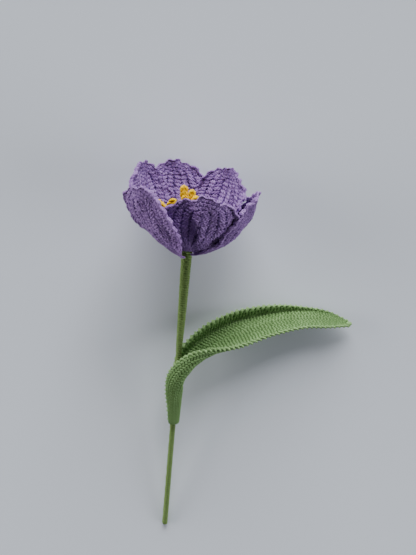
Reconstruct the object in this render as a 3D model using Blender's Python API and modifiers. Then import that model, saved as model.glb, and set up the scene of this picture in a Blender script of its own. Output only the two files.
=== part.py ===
# A crocheted tulip, cut and laid on its back: six crocheted petals in two rings of three,
# looped stamens, a yarn-wrapped wire stem and one crocheted leaf with a wire in its middle.
# Every piece is modelled upright about the stem's axis, +Z towards the flower, -Y towards the
# viewer and +X to the leaf's side, with the origin where the petals join the stem.
# One empty then lays the whole flower down. Sizes are in metres.
import math

import bmesh
import bpy
import numpy as np
from mathutils import Matrix

# Yarn work
FABRIC = 0.0024
ROW_RELIEF = 0.00035
STITCH_RELIEF = 0.00015
ROW_FOR_FULL_RELIEF = 0.0025
SEWN_GAP = 0.0004

# Stem: a steel wire, folded back at the top to hold the flower, inside a wrap of yarn.
# The wrap is thick at the flower, where yarn ends are bound in, and thin below its taper.
STEM_LENGTH = 0.236
STEM_TOP = 0.0040
STEM_TOP_RADIUS = 0.0040
STEM_FOOT_RADIUS = 0.0021
STEM_TAPER = 0.090
WRAP_RIDGES = 48
WRAP_RIDGE_HEIGHT = 0.00022
WRAP_SIDES = 10
BORE_FLARE_LENGTH = 0.012
WIRE_RADIUS = 0.0009
WIRE_HOOK = 0.026
HOOK_SPACING = 0.0024
HOOK_SPREAD = 0.014
HOOK_BEND_STEPS = 6

# Petals
PETAL_ROWS = 8
PETAL_STATIONS = 44
PETAL_SHOULDER = 0.64
PETAL_FOOT_HALF_WIDTH = 0.0038
PETAL_WIDENING = 1.8
CHAIN_REACH = 0.60
SCALLOP = 0.0005

# Leaf
LEAF_ROWS = 8
LEAF_STATIONS = 54
LEAF_WIRE_RADIUS = 0.0004
LEAF_WIRE_BORE = 0.0007
LEAF_WIRE_END = 0.93

# Stamens
STAMEN_KNOT_RADIUS = 0.0035
STAMEN_KNOT_HEIGHT = 0.0030
STAMEN_BEAD = 0.0019
STAMEN_BEAD_SWELL = 0.12
STAMEN_TIP_SHARE = 0.55

# How the flower lies: the stem's lean across the surface, the height that the stem gains
# towards the flower, and where the foot of the petals then is
LEAN = math.radians(4.75)
SLANT = math.radians(9.18)
LAID_AT = (-0.03968, 0.08389, 0.03932)
SURFACE_SIZE = 1.0
SURFACE_DEPTH = 0.05

# foot, belly, shoulder and tip steer a petal's middle line, as radius and height.
# The inner ring's feet are sewn on above the outer ring's. flare moves the two side edges out,
# first the one at the lower azimuth. wave ruffles the rim and twist leans the petal sideways.
PETALS = {
    "petal_front": dict(
        azimuth=11, half_width=0.0300, foot=(0.0052, 0.0026), belly=(0.018, 0.0095),
        shoulder=(0.0400, 0.0290), tip=(0.0430, 0.0575), flare=(0.000, 0.001), wave=0.0010,
        waves=1.6, phase=0.5, twist=0,
    ),
    "petal_right": dict(
        azimuth=86, half_width=0.0285, foot=(0.0051, -0.0010), belly=(0.020, 0.0015),
        shoulder=(0.0455, 0.0180), tip=(0.0485, 0.0530), flare=(0.000, 0.000), wave=0.0008,
        waves=1.4, phase=1.9, twist=-12,
    ),
    "petal_back_right": dict(
        azimuth=134, half_width=0.0255, foot=(0.0052, 0.0026), belly=(0.018, 0.0095),
        shoulder=(0.0400, 0.0290), tip=(0.0430, 0.0575), flare=(0.000, 0.000), wave=0.0010,
        waves=1.5, phase=0.2, twist=6,
    ),
    "petal_back": dict(
        azimuth=198, half_width=0.0270, foot=(0.0052, -0.0024), belly=(0.017, 0.002),
        shoulder=(0.0445, 0.0265), tip=(0.0485, 0.0570), flare=(0.000, 0.000), wave=0.0008,
        waves=1.4, phase=1.2, twist=0,
    ),
    "petal_back_left": dict(
        azimuth=246, half_width=0.0260, foot=(0.0052, 0.0026), belly=(0.018, 0.0095),
        shoulder=(0.0400, 0.0290), tip=(0.0430, 0.0590), flare=(0.000, 0.001), wave=0.0010,
        waves=1.7, phase=2.4, twist=-6,
    ),
    "petal_left": dict(
        azimuth=310, half_width=0.0250, foot=(0.0052, -0.0024), belly=(0.017, 0.002),
        shoulder=(0.0450, 0.0280), tip=(0.0500, 0.0590), flare=(0.005, 0.000), wave=0.0008,
        waves=1.5, phase=0.9, twist=0,
    ),
}

# Stamens: where each tip stands as (x, y, z) and how thick the looped yarn is
STAMENS = [
    ((-0.0064, 0.007, 0.0490), 0.0024),
    ((0.0000, 0.005, 0.0450), 0.0023),
    ((0.0070, 0.005, 0.0425), 0.0012),
    ((-0.0138, -0.004, 0.0405), 0.0020),
    ((-0.0235, 0.000, 0.0380), 0.0012),
    ((0.0030, -0.009, 0.0340), 0.0014),
]

# Leaf stations from foot to tip: the middle's place, the direction from the near edge to the
# far edge, the half width along the cloth and the angle that the cupped section turns through
LEAF = [
    ((0.0026, -0.0034, -0.142), (0.77, 0.64, 0.00), 0.0068, 190),
    ((0.0025, -0.0041, -0.128), (0.77, 0.64, 0.00), 0.0092, 212),
    ((0.0026, -0.0054, -0.114), (0.72, 0.69, 0.00), 0.0124, 228),
    ((0.0052, -0.0056, -0.103), (0.50, 0.86, 0.03), 0.0158, 230),
    ((0.0104, -0.0022, -0.094), (0.20, 0.97, 0.12), 0.0178, 212),
    ((0.0185, 0.0055, -0.086), (0.02, 0.94, 0.30), 0.0184, 175),
    ((0.0300, 0.0128, -0.078), (0.00, 0.87, 0.49), 0.0182, 118),
    ((0.0470, 0.0182, -0.0690), (0.04, 0.80, 0.59), 0.0174, 70),
    ((0.0640, 0.0198, -0.0620), (0.04, 0.81, 0.59), 0.0152, 54),
    ((0.0800, 0.0205, -0.0575), (0.04, 0.82, 0.57), 0.0128, 48),
    ((0.0970, 0.0208, -0.0550), (0.03, 0.85, 0.52), 0.0094, 42),
    ((0.1130, 0.0200, -0.0545), (0.02, 0.80, 0.60), 0.0066, 36),
    ((0.1300, 0.0200, -0.0564), (0.02, 0.78, 0.62), 0.0006, 30),
]


def clear_scene():
    for obj in list(bpy.data.objects):
        bpy.data.objects.remove(obj, do_unlink=True)


def new_collection(name):
    collection = bpy.data.collections.new(name)
    bpy.context.scene.collection.children.link(collection)
    return collection


def material(name, colour, roughness, metallic=0.0):
    made = bpy.data.materials.new(name)
    made.use_nodes = True
    shader = made.node_tree.nodes["Principled BSDF"]
    shader.inputs["Base Color"].default_value = (*colour, 1.0)
    shader.inputs["Roughness"].default_value = roughness
    shader.inputs["Metallic"].default_value = metallic
    return made


def add_object(name, data, collection, parent=None, finish=None):
    obj = bpy.data.objects.new(name, data)
    collection.objects.link(obj)
    obj.parent = parent
    if finish is not None:
        data.materials.append(finish)
    return obj


def mesh_from_sheet(name, points):
    """An open sheet from rows of points. Points that meet, as along a petal's middle, are joined."""
    rows, stations = points.shape[:2]
    sheet = bmesh.new()
    verts = [[sheet.verts.new(points[i, j]) for j in range(stations)] for i in range(rows)]
    for i in range(rows - 1):
        for j in range(stations - 1):
            sheet.faces.new((verts[i][j], verts[i][j + 1], verts[i + 1][j + 1], verts[i + 1][j]))
    bmesh.ops.remove_doubles(sheet, verts=sheet.verts, dist=0.00001)
    bmesh.ops.recalc_face_normals(sheet, faces=sheet.faces)
    mesh = bpy.data.meshes.new(name)
    sheet.to_mesh(mesh)
    sheet.free()
    mesh.shade_smooth()
    return mesh


def claim(obj, name, collection, parent=None):
    """Names an object that Blender has just added and moves it into the collection."""
    obj.name = name
    obj.parent = parent
    for other in obj.users_collection:
        other.objects.unlink(obj)
    collection.objects.link(obj)


def thicken(obj):
    """Gives an open sheet the thickness of the crocheted cloth, half to each side."""
    solid = obj.modifiers.new("Cloth thickness", "SOLIDIFY")
    solid.thickness = FABRIC
    solid.offset = 0.0


def cut(obj, cutter):
    """Takes the cutter's shape away from the object."""
    modifier = obj.modifiers.new("Cut by " + cutter.name, "BOOLEAN")
    modifier.operation = "DIFFERENCE"
    modifier.object = cutter


def as_mesh(obj):
    """A curve turned into a welded mesh object of the same name, in the same place."""
    bpy.context.view_layer.update()
    graph = bpy.context.evaluated_depsgraph_get()
    mesh = bpy.data.meshes.new_from_object(obj.evaluated_get(graph))
    work = bmesh.new()
    work.from_mesh(mesh)
    bmesh.ops.remove_doubles(work, verts=work.verts, dist=0.000001)
    bmesh.ops.recalc_face_normals(work, faces=work.faces)
    work.to_mesh(mesh)
    work.free()
    collection = obj.users_collection[0]
    made = bpy.data.objects.new("mesh", mesh)
    collection.objects.link(made)
    made.parent = obj.parent
    made.matrix_local = obj.matrix_local.copy()
    name = obj.name
    bpy.data.objects.remove(obj, do_unlink=True)
    made.name = name
    return made


def make_helper(obj):
    """A cutter or a guide: kept in the file, left out of the model."""
    obj.hide_render = True
    obj.display_type = "WIRE"


def tube(name, points, radii, collection, parent, finish=None):
    """A round wire or yarn through the points, with a radius at each and closed ends."""
    curve = bpy.data.curves.new(name, "CURVE")
    curve.dimensions = "3D"
    curve.bevel_depth = 1.0
    curve.bevel_resolution = 1
    curve.use_fill_caps = True
    spline = curve.splines.new("POLY")
    spline.points.add(len(points) - 1)
    for place, radius, target in zip(points, radii, spline.points):
        target.co = (*place, 1.0)
        target.radius = radius
    return add_object(name, curve, collection, parent, finish)


def through(values, count):
    """count rows on a smooth curve through the rows of values (Catmull-Rom)."""
    values = np.asarray(values, float)
    padded = np.vstack([2 * values[0] - values[1], values, 2 * values[-1] - values[-2]])
    place = np.linspace(0, len(values) - 1, count)
    first = np.minimum(place.astype(int), len(values) - 2)
    t = (place - first)[:, None]
    a, b, c, d = (padded[first + k] for k in range(4))
    square = 2 * a - 5 * b + 4 * c - d
    cube = 3 * b - a - 3 * c + d
    return (2 * b + (c - a) * t + square * t**2 + cube * t**3) / 2


def running_length(points):
    steps = np.linalg.norm(np.diff(points, axis=0), axis=1)
    return np.concatenate([[0.0], np.cumsum(steps)])


def evenly(points, count):
    """The same polyline with count points at equal distances."""
    length = running_length(points)
    wanted = np.linspace(0, length[-1], count)
    return np.stack([np.interp(wanted, length, column) for column in points.T], axis=-1)


def unit(vectors):
    return vectors / np.linalg.norm(vectors, axis=-1, keepdims=True)


# Petals

def middle_line(petal):
    """Running length, radius and height along a petal's middle, from its foot to its tip."""
    ends = [np.array(p) for p in (petal["foot"], petal["belly"], petal["shoulder"], petal["tip"])]
    t = np.linspace(0, 1, 200)[:, None]
    weights = ((1 - t) ** 3, 3 * (1 - t) ** 2 * t, 3 * (1 - t) * t**2, t**3)
    line = sum(weight * end for weight, end in zip(weights, ends))
    return running_length(line), line[:, 0], line[:, 1]


def petal_place(petal, line, across, along):
    """Where a point of the flat petal, across from its middle and along from its foot, ends up."""
    length, radius, height = line
    reach = along / length[-1]
    side = across / petal["half_width"]
    r = np.interp(along, length, radius)
    turn = np.radians(petal["azimuth"] + petal["twist"] * reach**2) + across / r
    ruffle = np.sin(petal["waves"] * math.pi * side + petal["phase"]) * reach**3
    flare = np.where(side < 0, petal["flare"][0], petal["flare"][1])
    r = r + flare * side**2 * reach + petal["wave"] * ruffle
    return np.stack([r * np.sin(turn), -r * np.cos(turn), np.interp(along, length, height)], axis=-1)


def petal_normal(petal, line, across, along):
    step = 0.0002
    left, right = (petal_place(petal, line, across + side, along) for side in (-step, step))
    below, above = (petal_place(petal, line, across, along + side) for side in (-step, step))
    return unit(np.cross(right - left, above - below))


def petal_outline(petal, total):
    """The flat petal's edge from the left of its foot, over the tip, to the right of its foot."""
    v = np.linspace(0, 1, 400)
    rise = np.sin(math.pi / 2 * np.minimum(v / PETAL_SHOULDER, 1)) ** PETAL_WIDENING
    fall = np.maximum((v - PETAL_SHOULDER) / (1 - PETAL_SHOULDER), 0) ** 2
    spread = petal["half_width"] - PETAL_FOOT_HALF_WIDTH
    half = (PETAL_FOOT_HALF_WIDTH + spread * rise) * np.sqrt(np.maximum(1 - fall, 0))
    left = np.stack([-half, v * total], axis=-1)
    right = left[::-1] * (-1, 1)
    return evenly(np.vstack([left, right[1:]]), PETAL_STATIONS + 1)


def petal_sheet(petal):
    """Rows of points: the middle chain first, then each round of stitches out to the edge."""
    line = middle_line(petal)
    total = line[0][-1]
    edge = petal_outline(petal, total)
    chain = np.minimum(edge[:, 1] * CHAIN_REACH / PETAL_SHOULDER, total * CHAIN_REACH)
    relief = np.minimum(np.hypot(edge[:, 0], edge[:, 1] - chain) / PETAL_ROWS / ROW_FOR_FULL_RELIEF, 1)
    sheet = []
    for row in range(PETAL_ROWS + 1):
        share = row / PETAL_ROWS
        bump = (-1.0) ** np.arange(PETAL_STATIONS + 1)
        across = share * edge[:, 0]
        along = (1 - share) * chain + share * edge[:, 1]
        if row == PETAL_ROWS:
            across = across * (1 + SCALLOP / petal["half_width"] * bump)
            along = along + SCALLOP * bump * (edge[:, 1] > PETAL_SHOULDER * total)
        ridge = relief * (ROW_RELIEF * (-1) ** row + STITCH_RELIEF * bump * (row > 0))
        place = petal_place(petal, line, across, along)
        sheet.append(place + ridge[:, None] * petal_normal(petal, line, across, along))
    return np.array(sheet)


def make_petal(name, petal, collection, root, finish):
    mesh = mesh_from_sheet(name, petal_sheet(petal))
    obj = add_object(name, mesh, collection, root, finish)
    thicken(obj)
    return obj


# Stem

def stem_radius(height):
    share = min(max((STEM_TOP - height) / STEM_TAPER, 0.0), 1.0)
    eased = share * (1 + share) / 2
    return STEM_TOP_RADIUS + (STEM_FOOT_RADIUS - STEM_TOP_RADIUS) * eased


def stem_bore():
    """Radius and height of the wire's way through the wrap, wide where the wire is folded double."""
    plain = WIRE_RADIUS + SEWN_GAP
    folded = plain + HOOK_SPACING / 2
    wide_from = STEM_TOP - WIRE_HOOK - 2 * WIRE_RADIUS
    return [
        (plain, -STEM_LENGTH),
        (plain, wide_from - BORE_FLARE_LENGTH),
        (folded, wide_from),
        (folded, STEM_TOP),
    ]


def make_stem_wrap(collection, root, finish):
    """A turned tube whose outside has a ridge for each band of yarn."""
    steps = 2 * WRAP_RIDGES
    profile = []
    for i in range(steps + 1):
        height = STEM_TOP - (STEM_LENGTH + STEM_TOP) * i / steps
        ridge = WRAP_RIDGE_HEIGHT * (0.5 - i % 2)
        profile.append((stem_radius(height) + ridge, height))
    profile += stem_bore()
    points = [(radius, 0.0, height) for radius, height in profile]
    edges = [(i, (i + 1) % len(profile)) for i in range(len(profile))]
    mesh = bpy.data.meshes.new("stem_wrap")
    mesh.from_pydata(points, edges, [])
    obj = add_object("stem_wrap", mesh, collection, root, finish)
    turn = obj.modifiers.new("Turned round the wire", "SCREW")
    turn.axis = "Z"
    turn.steps = WRAP_SIDES
    turn.render_steps = WRAP_SIDES
    turn.use_merge_vertices = True
    turn.merge_threshold = 0.00001
    turn.use_smooth_shade = True
    return obj


def make_stem_wire(collection, root, finish):
    """The wire runs up the stem, bends over and comes a little way down again."""
    half = HOOK_SPACING / 2
    bend_centre = STEM_TOP - WIRE_RADIUS - 2 * half
    hook_end = STEM_TOP - WIRE_HOOK
    points = [
        (0, 0, -STEM_LENGTH + SEWN_GAP),
        (0, 0, hook_end - HOOK_SPREAD),
        (-half, 0, hook_end),
    ]
    for i in range(HOOK_BEND_STEPS + 1):
        angle = math.pi * i / HOOK_BEND_STEPS
        points.append((-half * math.cos(angle), 0, bend_centre + half * math.sin(angle)))
    points.append((half, 0, hook_end))
    return tube("stem_wire", points, [WIRE_RADIUS] * len(points), collection, root, finish)


# Stamens

def stamen_path(tip, count):
    """From the knot on the stem's top, up and out to the tip."""
    x, y, z = tip
    foot = np.array((x / 8, y / 8, STEM_TOP + SEWN_GAP + STAMEN_KNOT_HEIGHT / 2))
    bend = np.array((x / 2, y / 2, z * 0.6))
    t = np.linspace(0, 1, count)[:, None]
    return (1 - t) ** 2 * foot + 2 * (1 - t) * t * bend + t**2 * np.array(tip)


def make_stamens(collection, root, finish):
    """Cords of looped yarn that rise from one knot, joined in one solid."""
    cords = new_collection("stamen_cords")
    for index, (tip, radius) in enumerate(STAMENS):
        count = 2 * round(tip[2] / STAMEN_BEAD / 4) + 1
        swell = 1 + STAMEN_BEAD_SWELL * (-1.0) ** np.arange(count)
        swell[-1] = STAMEN_TIP_SHARE
        cord = tube(f"stamen_{index}", stamen_path(tip, count), radius * swell, cords, root)
        make_helper(as_mesh(cord))
    bpy.ops.mesh.primitive_cylinder_add(vertices=12, radius=STAMEN_KNOT_RADIUS, depth=STAMEN_KNOT_HEIGHT)
    knot = bpy.context.object
    knot.data.transform(Matrix.Translation((0, 0, STEM_TOP + SEWN_GAP + STAMEN_KNOT_HEIGHT / 2)))
    knot.data.materials.append(finish)
    claim(knot, "stamens", collection, root)
    join = knot.modifiers.new("Stamens joined in the knot", "BOOLEAN")
    join.operation = "UNION"
    join.operand_type = "COLLECTION"
    join.collection = cords
    bpy.context.view_layer.update()
    graph = bpy.context.evaluated_depsgraph_get()
    joined = bpy.data.meshes.new_from_object(knot.evaluated_get(graph))
    knot.modifiers.clear()
    knot.data = joined
    for cord in list(cords.objects):
        bpy.data.objects.remove(cord, do_unlink=True)
    bpy.data.collections.remove(cords)
    return knot


# Leaf

def leaf_stations():
    """Evenly spaced middle points with their frames, half widths and cup angles."""
    rows = [(*middle, *sideways, half, math.radians(cup)) for middle, sideways, half, cup in LEAF]
    fine = through(rows, 400)
    length = running_length(fine[:, :3])
    wanted = np.linspace(0, length[-1], LEAF_STATIONS + 1)
    table = np.stack([np.interp(wanted, length, column) for column in fine.T], axis=-1)
    middle, sideways, half, cup = table[:, :3], table[:, 3:6], table[:, 6], table[:, 7]
    along = unit(np.gradient(middle, axis=0))
    sideways = unit(sideways - (sideways * along).sum(1)[:, None] * along)
    upper = np.cross(along, sideways)
    return middle, sideways, upper, half, cup


def leaf_sheet():
    middle, sideways, upper, half, cup = leaf_stations()
    bend = 2 * half / cup
    bump = (-1.0) ** np.arange(LEAF_STATIONS + 1)
    relief = np.minimum(2 * half / LEAF_ROWS / ROW_FOR_FULL_RELIEF, 1)
    rows = []
    for row in range(LEAF_ROWS + 1):
        side = 2 * row / LEAF_ROWS - 1
        if row in (0, LEAF_ROWS):
            side = side * (1 + SCALLOP / np.maximum(half, 0.004) * bump)
        angle = side * cup / 2
        place = middle + (bend * np.sin(angle))[:, None] * sideways
        place += (bend * (1 - np.cos(angle)))[:, None] * upper
        normal = np.cos(angle)[:, None] * upper - np.sin(angle)[:, None] * sideways
        ridge = 0.0 * relief if row == LEAF_ROWS // 2 else relief * ROW_RELIEF * (-1) ** row
        rows.append(place + ridge[:, None] * normal)
    return np.array(rows), middle


def make_leaf(collection, cutters, root, finish, wire_finish):
    sheet, middle = leaf_sheet()
    leaf = add_object("leaf", mesh_from_sheet("leaf", sheet), collection, root, finish)
    thicken(leaf)
    last = int(LEAF_WIRE_END * LEAF_STATIONS)
    before = 2 * middle[0] - middle[1]
    bore_path = np.vstack([before, middle[: last + 1]])
    bore = as_mesh(tube("leaf_bore", bore_path, [LEAF_WIRE_BORE] * len(bore_path), cutters, root))
    make_helper(bore)
    cut(leaf, bore)
    wire_path = middle[:last]
    tube("leaf_wire", wire_path, [LEAF_WIRE_RADIUS] * len(wire_path), collection, root, wire_finish)
    return leaf


# Laying it down

def lay_down(root):
    """Turns the flower onto its back, its petals, stem foot and leaf on the surface."""
    tipped = Matrix.Rotation(SLANT - math.pi / 2, 4, "X")
    leaned = Matrix.Rotation(LEAN, 4, "Y")
    root.matrix_world = Matrix.Translation(LAID_AT) @ tipped @ leaned


def make_surface(cutters):
    """What the flower lies on. It presses the cloth and the stem flat where they touch it."""
    bpy.ops.mesh.primitive_cube_add(size=1)
    surface = bpy.context.object
    surface.data.transform(Matrix.Diagonal((SURFACE_SIZE, SURFACE_SIZE, SURFACE_DEPTH, 1)))
    surface.data.transform(Matrix.Translation((0, 0, -SURFACE_DEPTH / 2)))
    claim(surface, "surface", cutters)
    make_helper(surface)
    return surface


def main():
    clear_scene()
    tulip = new_collection("tulip")
    cutters = new_collection("cutters")
    root = bpy.data.objects.new("laid_flower", None)
    tulip.objects.link(root)

    purple = material("petal_yarn", (0.22, 0.15, 0.34), 0.85)
    yellow = material("stamen_yarn", (0.80, 0.50, 0.03), 0.80)
    green = material("leaf_yarn", (0.15, 0.26, 0.10), 0.85)
    dark_green = material("stem_yarn", (0.07, 0.11, 0.03), 0.80)
    steel = material("wire_steel", (0.45, 0.45, 0.45), 0.35, 1.0)

    petals = {name: make_petal(name, petal, tulip, root, purple) for name, petal in PETALS.items()}
    stem_wrap = make_stem_wrap(tulip, root, dark_green)
    make_stem_wire(tulip, root, steel)
    make_stamens(tulip, root, yellow)
    leaf = make_leaf(tulip, cutters, root, green, steel)

    lay_down(root)
    surface = make_surface(cutters)
    for touching in (petals["petal_back"], stem_wrap, leaf):
        cut(touching, surface)


main()
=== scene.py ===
import math

import bmesh
import bpy
import numpy as np
from mathutils import Matrix, Vector


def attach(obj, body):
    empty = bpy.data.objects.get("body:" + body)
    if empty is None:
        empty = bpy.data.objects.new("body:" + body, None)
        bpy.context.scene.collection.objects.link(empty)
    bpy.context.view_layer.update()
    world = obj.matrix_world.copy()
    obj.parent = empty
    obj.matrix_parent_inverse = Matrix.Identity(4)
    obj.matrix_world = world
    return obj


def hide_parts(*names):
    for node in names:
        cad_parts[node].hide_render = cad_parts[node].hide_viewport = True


# A crocheted tulip laid on its back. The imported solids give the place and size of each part,
# and this script crochets over them: every petal and the leaf is laid stitch by stitch on a thin
# inner cloth, the stem is wound with yarn and the stamens are chains of looped yarn.
# Parts are worked out upright, +Z to the flower and -Y to the viewer, then laid down as the
# solids are. Sizes are in metres unless a note says millimetres.

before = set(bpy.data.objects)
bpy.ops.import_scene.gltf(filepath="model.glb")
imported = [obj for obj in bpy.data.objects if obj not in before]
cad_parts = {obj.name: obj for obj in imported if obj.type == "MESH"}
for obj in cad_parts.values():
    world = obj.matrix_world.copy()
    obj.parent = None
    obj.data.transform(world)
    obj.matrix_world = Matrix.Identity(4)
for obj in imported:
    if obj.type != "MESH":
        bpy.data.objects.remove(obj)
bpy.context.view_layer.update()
print("frame loaded:", len(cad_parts), "nodes")

laying = dict(
    lean=math.radians(4.75),     # the stem's lean across the floor
    slant=math.radians(9.18),    # how the stem climbs towards the flower
    foot=(-0.03968, 0.08389, 0.03932),    # where the petals join the stem
)
laidDown = (
    Matrix.Translation(laying["foot"])
    @ Matrix.Rotation(laying["slant"] - math.pi / 2, 4, "X")
    @ Matrix.Rotation(laying["lean"], 4, "Y")
)
floorSoftness = 0.0006    # how thick the yarn is that the floor presses flat


# Small helpers for lines and directions

def columns(*values):
    return np.stack(values, axis=-1)


def unit(vectors):
    return vectors / np.maximum(np.linalg.norm(vectors, axis=-1, keepdims=True), 1e-12)


def runningLength(points):
    steps = np.linalg.norm(np.diff(points, axis=0), axis=1)
    return np.concatenate([[0.0], np.cumsum(steps)])


def evenlyBy(length, rows, count):
    # a table's rows again, at even steps of the running length that goes with them
    wanted = np.linspace(0, length[-1], count)
    return columns(*(np.interp(wanted, length, column) for column in rows.T))


def evenly(points, count):
    return evenlyBy(runningLength(points), points, count)


def through(values, count):
    # a smooth line through the given rows (Catmull-Rom)
    values = np.asarray(values, float)
    padded = np.vstack([2 * values[0] - values[1], values, 2 * values[-1] - values[-2]])
    place = np.linspace(0, len(values) - 1, count)
    first = np.minimum(place.astype(int), len(values) - 2)
    t = (place - first)[:, None]
    a, b, c, d = (padded[first + k] for k in range(4))
    square = 2 * a - 5 * b + 4 * c - d
    cube = 3 * b - a - 3 * c + d
    return (2 * b + (c - a) * t + square * t**2 + cube * t**3) / 2


def asDown(points):
    # upright points as they lie on the floor, pressed flat where they would go into it
    turn = np.array(laidDown)
    points = points @ turn[:3, :3].T + turn[:3, 3]
    low = points[..., 2] < floorSoftness
    pressed = floorSoftness * np.exp(points[..., 2] / floorSoftness - 1)
    points[..., 2] = np.where(low, pressed, points[..., 2])
    return points


def addObject(name, mesh):
    obj = bpy.data.objects.new(name, mesh)
    bpy.context.scene.collection.objects.link(obj)
    return obj


def addAttribute(mesh, name, kind, values, domain="POINT"):
    attribute = mesh.attributes.new(name, kind, domain)
    field = {"FLOAT": "value", "INT": "value", "FLOAT_VECTOR": "vector", "FLOAT2": "vector"}[kind]
    attribute.data.foreach_set(field, np.asarray(values).ravel())


# Materials

def setInputs(tree, node, inputs):
    # each input linked to another node's output, or set to a constant
    for name, value in inputs.items():
        if isinstance(value, bpy.types.NodeSocket):
            tree.links.new(value, node.inputs[name])
        else:
            node.inputs[name].default_value = value


def addNode(tree, kind, inputs=None, **properties):
    made = tree.nodes.new(kind)
    for name, value in properties.items():
        setattr(made, name, value)
    setInputs(tree, made, inputs or {})
    return made


def mathNode(tree, operation, *values):
    return addNode(tree, "ShaderNodeMath", dict(enumerate(values)), operation=operation).outputs[0]


def mixColour(tree, factor, first, second):
    inputs = {0: factor}
    for index, value in ((6, first), (7, second)):
        inputs[index] = (*value, 1.0) if isinstance(value, tuple) else value
    return addNode(tree, "ShaderNodeMix", inputs, data_type="RGBA").outputs[2]


def newMaterial(name):
    made = bpy.data.materials.new(name)
    made.use_nodes = True
    return made, made.node_tree


def yarnMaterial(name, look):
    # matt spun yarn: painted shade between its plies, each stitch a little different, fine fibres
    made, tree = newMaterial(name)
    place = addNode(tree, "ShaderNodeTexCoord").outputs["Object"]

    def noise(scale, detail):
        inputs = {"Vector": place, "Scale": scale, "Detail": detail}
        return addNode(tree, "ShaderNodeTexNoise", inputs).outputs["Fac"]

    def attribute(wanted):
        return addNode(tree, "ShaderNodeAttribute", attribute_name=wanted).outputs["Fac"]

    # ply crests lighter and grooves darker: painted shade between the plies
    crest = mathNode(tree, "MULTIPLY_ADD", attribute("plyCrest"), 0.5, 0.5)
    fibre = noise(look["fibreScale"], 3.0)
    broad = noise(look["cloudScale"], 2.0)
    lightness = mathNode(tree, "MULTIPLY", crest, look["plyContrast"])
    lightness = mathNode(tree, "MULTIPLY_ADD", fibre, look["fibreContrast"], lightness)
    lightness = mathNode(tree, "MULTIPLY_ADD", broad, look["cloudContrast"], lightness)
    lightness = mathNode(tree, "MULTIPLY_ADD", attribute("tint"), look["stitchContrast"], lightness)
    contrasts = ("plyContrast", "fibreContrast", "cloudContrast", "stitchContrast")
    lightness = mathNode(tree, "DIVIDE", lightness, sum(look[name] for name in contrasts))
    colour = mixColour(tree, lightness, look["dark"], look["light"])
    # edge colour: painted shade on petal rims, painted highlight on the leaf's edge loops and its tip
    # knot
    colour = mixColour(tree, attribute("edgeShadeAndLight"), colour, look["edge"])
    # deep colour: painted shade where yarn goes into holes, on the inner cloth and on the stem's core
    colour = mixColour(tree, attribute("paintedShade"), colour, look["deep"])
    height = mathNode(tree, "MULTIPLY_ADD", fibre, 0.5, crest)
    bump = addNode(tree, "ShaderNodeBump", {
        "Strength": look["bump"], "Distance": 0.0002, "Height": height})
    setInputs(tree, tree.nodes["Principled BSDF"], {
        "Base Color": colour, "Normal": bump.outputs["Normal"], "Roughness": look["roughness"],
        "Sheen Weight": look["sheen"], "Sheen Roughness": 0.5, "Sheen Tint": (*look["light"], 1.0),
        "Specular IOR Level": 0.25,
    })
    return made


def steelMaterial():
    made, tree = newMaterial("craftWireSteel")
    place = addNode(tree, "ShaderNodeTexCoord").outputs["Object"]
    grain = addNode(tree, "ShaderNodeTexNoise", {"Scale": 600, "Vector": place}).outputs["Fac"]
    setInputs(tree, tree.nodes["Principled BSDF"], {
        "Metallic": 1.0, "Base Color": mixColour(tree, grain, (0.36, 0.36, 0.37), (0.55, 0.55, 0.56)),
        "Roughness": mathNode(tree, "MULTIPLY_ADD", grain, 0.2, 0.28),
    })
    return made


# plyContrast is how much painted shade lies between the plies; deep is the colour of painted shade,
# edge that of painted rim shade on the petals and painted highlight on the leaf
spunYarn = dict(
    roughness=0.9, sheen=0.2, bump=0.5, fibreScale=2600, plyContrast=0.40, fibreContrast=0.30,
)
petalYarn = yarnMaterial("lavenderYarn", dict(
    spunYarn, dark=(0.155, 0.050, 0.265), light=(0.610, 0.395, 0.800),
    edge=(0.150, 0.060, 0.250), deep=(0.036, 0.004, 0.105), sheen=0.25, bump=0.6,
    plyContrast=0.60, fibreContrast=0.25, cloudScale=90, cloudContrast=0.15, stitchContrast=0.30,
))
leafYarn = yarnMaterial("leafGreenYarn", dict(
    spunYarn, dark=(0.105, 0.225, 0.055), light=(0.360, 0.580, 0.245), edge=(0.41, 0.63, 0.28),
    deep=(0.020, 0.060, 0.008), cloudScale=70, cloudContrast=0.25, stitchContrast=0.30,
))
stemYarn = yarnMaterial("stemGreenYarn", dict(
    spunYarn, dark=(0.112, 0.184, 0.047), light=(0.230, 0.350, 0.117), edge=(0.22, 0.32, 0.10),
    deep=(0.020, 0.040, 0.010), fibreContrast=0.35, cloudScale=60, cloudContrast=0.30,
    stitchContrast=0.10,
))
stamenYarn = yarnMaterial("goldenYarn", dict(
    spunYarn, dark=(1.000, 0.500, 0.000), light=(1.000, 0.760, 0.000), edge=(1.00, 0.82, 0.10),
    deep=(0.500, 0.200, 0.000), roughness=0.85, sheen=0.0, cloudScale=120, cloudContrast=0.20,
    stitchContrast=0.25,
))
wireSteel = steelMaterial()
print("materials made")


# Geometry Nodes: yarn swept along lines, and stitches laid on a cloth

def newTree(name, inputs):
    tree = bpy.data.node_groups.new(name, "GeometryNodeTree")
    tree.interface.new_socket("Geometry", in_out="INPUT", socket_type="NodeSocketGeometry")
    for label, kind, default in inputs:
        socket = tree.interface.new_socket(label, in_out="INPUT", socket_type=kind)
        if default is not None:
            socket.default_value = default
    tree.interface.new_socket("Geometry", in_out="OUTPUT", socket_type="NodeSocketGeometry")
    return tree, addNode(tree, "NodeGroupInput").outputs


def namedValue(tree, name, kind="FLOAT"):
    made = addNode(tree, "GeometryNodeInputNamedAttribute", {"Name": name}, data_type=kind)
    return made.outputs["Attribute"]


def vectorMath(tree, operation, *values, **named):
    inputs = dict(enumerate(values), **named)
    return addNode(tree, "ShaderNodeVectorMath", inputs, operation=operation).outputs[0]


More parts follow.
